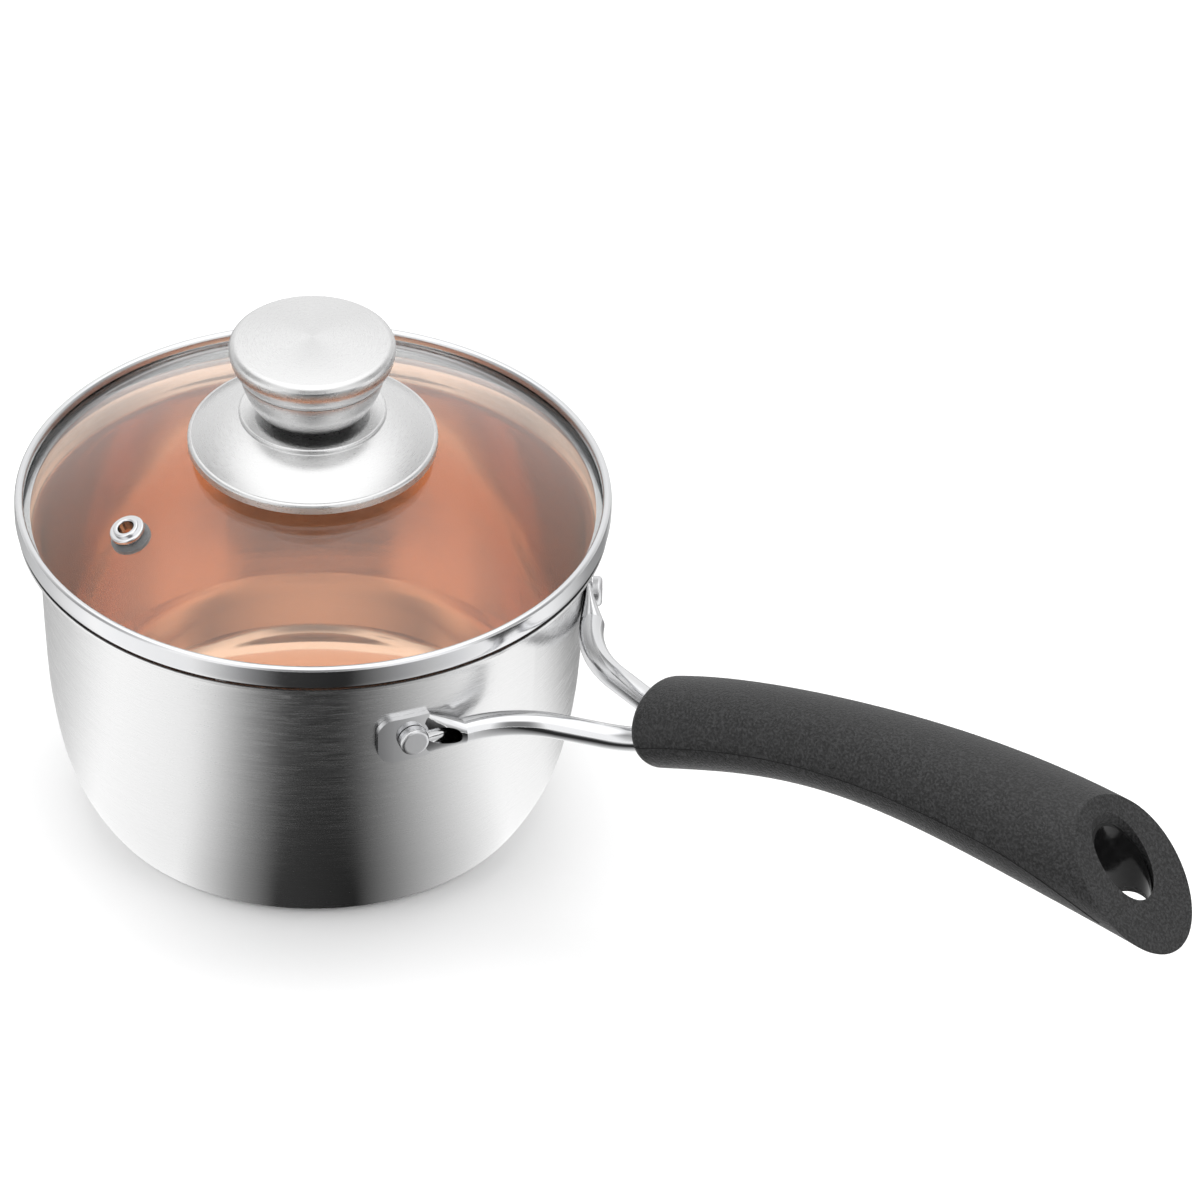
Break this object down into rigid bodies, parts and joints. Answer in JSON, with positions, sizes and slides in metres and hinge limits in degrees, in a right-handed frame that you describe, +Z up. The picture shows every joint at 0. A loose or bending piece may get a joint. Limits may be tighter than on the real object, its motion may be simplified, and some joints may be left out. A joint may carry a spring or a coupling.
{
  "type": "saucepan with glass lid",
  "caption": "Round saucepan with a copper coloured lining, a long forked handle with a soft black grip, and a domed glass lid with a steel rim, steam vent and knob.",
  "frame": {"origin": "centre of the flat base, on the surface the pan stands on", "axes": "+Z up through the middle of the pan and lid, +X along the handle, Y across the handle"},
  "size_m": [0.3991, 0.176, 0.1625],
  "materials": {
    "brushed_steel": "fine brushed, satin",
    "polished_steel": "mirror polished stainless",
    "plain_steel": "plain stainless",
    "aluminium_core": "mill finish, hidden",
    "copper_lining": "polished copper colour",
    "soft_black": "fine textured soft touch, matte",
    "glossy_black": "smooth black nylon",
    "silicone": "translucent grey silicone",
    "clear_glass": "clear tempered glass"
  },
  "bodies": {
    "pan": {"pan_shell": "brushed_steel", "base_core": "aluminium_core", "copper_lining": "copper_lining", "rivet_left": "polished_steel", "rivet_right": "polished_steel", "arm_left": "polished_steel", "arm_right": "polished_steel", "tie_bar": "plain_steel", "grip_core": "glossy_black", "grip_cover_upper": "soft_black", "grip_cover_lower": "soft_black"},
    "lid": {"lid_glass": "clear_glass", "lid_band": "polished_steel", "vent_eyelet": "polished_steel", "vent_washer": "silicone", "knob_flange": "brushed_steel", "knob_cup": "brushed_steel", "knob_cap": "brushed_steel", "knob_neck": "glossy_black", "knob_spacer": "glossy_black", "knob_insert": "plain_steel", "top_gasket": "silicone", "under_gasket": "silicone", "under_washer": "plain_steel", "lid_screw": "plain_steel"}
  },
  "joints": [
    {"name": "lid_lift", "type": "slide", "parent": "pan", "child": "lid", "axis": [0, 0, 1], "range_m": [0, 0.12]}
  ]
}
